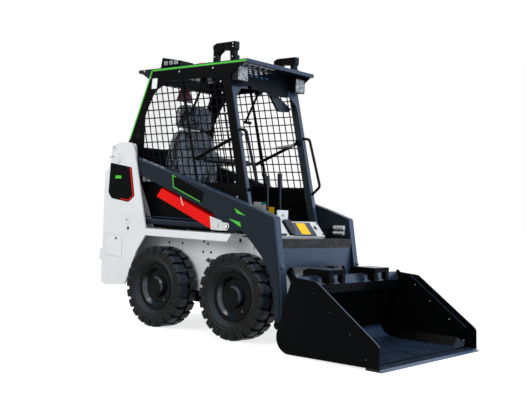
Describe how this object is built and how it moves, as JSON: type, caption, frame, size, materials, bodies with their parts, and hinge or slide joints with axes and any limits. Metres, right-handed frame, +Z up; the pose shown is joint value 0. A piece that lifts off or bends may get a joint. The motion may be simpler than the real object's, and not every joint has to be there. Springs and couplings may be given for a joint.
{
  "type": "skid steer loader",
  "caption": "Compact skid steer loader with a mesh-sided cab, radial lift arms, a front bucket and lug-tread tyres.",
  "frame": {"origin": "on the ground below the middle of the overall length and width", "axes": "+X forward, +Y to the operator's left, +Z up"},
  "size_m": [2.666, 1.196, 2.0359],
  "materials": {
    "white_paint": "satin",
    "grey_paint": "satin",
    "black_paint": "satin",
    "bucket_paint": "semi-gloss",
    "red_paint": "gloss",
    "zinc": "zinc plated",
    "rod_chrome": "polished",
    "tyre_rubber": "matt",
    "wheel_paint": "semi-gloss",
    "grip": "rough",
    "seat_cover": "matt",
    "plastic_black": "fine grain",
    "lamp_lens": "clear ribbed",
    "amber_lens": "amber",
    "window_glass": "clear"
  },
  "bodies": {
    "chassis": {"main_frame": "white_paint", "belly_pan": "black_paint", "battery_block": "black_paint", "axle_stubs": "black_paint", "fenders": "white_paint", "tower_left": "white_paint", "tower_right": "white_paint", "rear_hood": "white_paint", "rear_bumper": "white_paint", "tow_hook": "black_paint", "front_cover": "white_paint", "front_step": "grey_paint", "front_bracket": "white_paint", "cab_side_left": "black_paint", "cab_side_right": "black_paint", "side_guard_left": "black_paint", "side_guard_right": "black_paint", "side_tubes": "grey_paint", "cab_posts": "grey_paint", "cab_rear": "black_paint", "rear_window": "window_glass", "cab_roof": "grey_paint", "headlamps": "lamp_lens", "roof_lamps": "black_paint", "beacon": "amber_lens", "grab_handles": "black_paint", "cab_floor": "black_paint", "seat_base": "plastic_black", "seat_cushion": "seat_cover", "seat_back": "seat_cover", "control_levers": "plastic_black", "cab_struts": "black_paint"},
    "lift_frame": {"arm_left": "grey_paint", "arm_right": "grey_paint", "cross_member": "grey_paint", "grip_strip": "grip", "arm_brace": "red_paint", "brace_bracket": "zinc", "couplers": "zinc"},
    "lift_tubes": {"lift_barrels": "black_paint"},
    "lift_pistons": {"lift_rods": "rod_chrome"},
    "bucket": {"bucket_shell": "bucket_paint", "bucket_sides": "bucket_paint", "cutting_edge": "bucket_paint", "bucket_brackets": "bucket_paint", "quick_hitch": "bucket_paint", "hitch_levers": "zinc"},
    "tilt_tubes": {"tilt_barrels": "black_paint"},
    "tilt_pistons": {"tilt_rods": "rod_chrome"},
    "door": {"rear_door": "white_paint"},
    "lap_guard": {"lap_bar": "black_paint"},
    "wheel_front_left": {"tyre_front_left": "tyre_rubber", "rim_front_left": "wheel_paint"},
    "wheel_front_right": {"tyre_front_right": "tyre_rubber", "rim_front_right": "wheel_paint"},
    "wheel_rear_left": {"tyre_rear_left": "tyre_rubber", "rim_rear_left": "wheel_paint"},
    "wheel_rear_right": {"tyre_rear_right": "tyre_rubber", "rim_rear_right": "wheel_paint"}
  },
  "joints": [
    {"name": "arm_lift", "type": "hinge", "parent": "chassis", "child": "lift_frame", "pos_m": [-1.156, 0, 1.234], "axis": [0, -1, 0], "range_deg": [0, 68]},
    {"name": "lift_tube_swing", "type": "hinge", "parent": "chassis", "child": "lift_tubes", "pos_m": [-1.022, 0, 0.764], "axis": [0, -1, 0], "range_deg": [-1, 62.84]},
    {"name": "lift_rod_slide", "type": "slide", "parent": "lift_tubes", "child": "lift_pistons", "axis": [1, 0, -0.0089], "range_m": [-0.004, 0.534]},
    {"name": "bucket_tilt", "type": "hinge", "parent": "lift_frame", "child": "bucket", "pos_m": [0.452, 0, 0.15], "axis": [0, -1, 0], "range_deg": [-104, 15]},
    {"name": "tilt_tube_swing", "type": "hinge", "parent": "lift_frame", "child": "tilt_tubes", "pos_m": [0.268, 0, 0.632], "axis": [0, -1, 0], "range_deg": [-5.48, 1.65]},
    {"name": "tilt_rod_slide", "type": "slide", "parent": "tilt_tubes", "child": "tilt_pistons", "axis": [0.5452, 0, -0.8383], "range_m": [-0.0342, 0.2196]},
    {"name": "door_swing", "type": "hinge", "parent": "chassis", "child": "door", "pos_m": [-1.318, 0.375, 0.83], "axis": [0, 0, -1], "range_deg": [0, 100]},
    {"name": "lap_bar_lift", "type": "hinge", "parent": "chassis", "child": "lap_guard", "pos_m": [-0.052, 0, 1.39], "axis": [0, 1, 0], "range_deg": [0, 75]},
    {"name": "roll_front_left", "type": "hinge", "parent": "chassis", "child": "wheel_front_left", "pos_m": [0.066, 0.405, 0.292], "axis": [0, 1, 0], "continuous": true},
    {"name": "roll_front_right", "type": "hinge", "parent": "chassis", "child": "wheel_front_right", "pos_m": [0.066, -0.405, 0.292], "axis": [0, 1, 0], "continuous": true},
    {"name": "roll_rear_left", "type": "hinge", "parent": "chassis", "child": "wheel_rear_left", "pos_m": [-0.692, 0.405, 0.292], "axis": [0, 1, 0], "continuous": true},
    {"name": "roll_rear_right", "type": "hinge", "parent": "chassis", "child": "wheel_rear_right", "pos_m": [-0.692, -0.405, 0.292], "axis": [0, 1, 0], "continuous": true}
  ],
  "couplings": [
    {"joint": "lift_tube_swing", "follows": "arm_lift", "ratio": 0.90935},
    {"joint": "lift_rod_slide", "follows": "arm_lift", "m_per_rad": 0.44654},
    {"joint": "tilt_tube_swing", "follows": "bucket_tilt", "ratio": 0.043039},
    {"joint": "tilt_rod_slide", "follows": "bucket_tilt", "m_per_rad": -0.11934}
  ]
}
